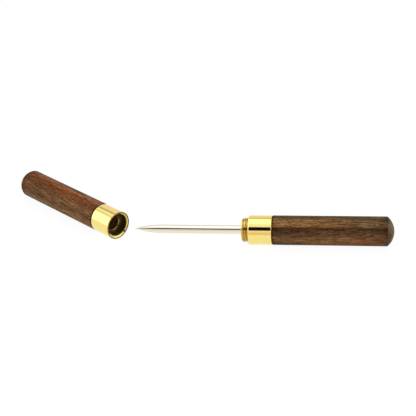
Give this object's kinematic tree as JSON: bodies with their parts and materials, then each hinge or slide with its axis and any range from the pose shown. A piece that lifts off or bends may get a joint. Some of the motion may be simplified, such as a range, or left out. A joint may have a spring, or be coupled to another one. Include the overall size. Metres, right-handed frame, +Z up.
{
  "type": "scratch awl",
  "caption": "Pocket scratch awl with a slim steel point in a round wooden handle, and a wooden screw cap, shown off, that covers the point.",
  "frame": {"origin": "on the handle's axis, where the blade leaves the front face of the threaded nose", "axes": "+X along the handle's axis towards its domed end, so the blade points to -X; +Z up from the surface that both halves lie on, which is at z = -0.008; the cap lies beyond the point, turned 36.7 degrees"},
  "size_m": [0.2197, 0.0642, 0.016],
  "materials": {
    "steel": "polished",
    "brass": "polished",
    "wood": "oiled rosewood"
  },
  "bodies": {
    "handle": {"blade": "steel", "handle_ferrule": "brass", "handle_barrel": "wood"},
    "cap_carrier": {"cap_stop_ring": "brass"},
    "cap": {"cap_ferrule": "brass", "cap_barrel": "wood"}
  },
  "joints": [
    {"name": "cap_draw", "type": "slide", "parent": "handle", "child": "cap_carrier", "axis": [-0.8018, 0.5976, 0], "range_m": [0, 0.08]},
    {"name": "cap_turn", "type": "hinge", "parent": "cap_carrier", "child": "cap", "pos_m": [-0.0696, 0.00295, 0], "axis": [0.8018, -0.5976, 0], "continuous": true}
  ]
}
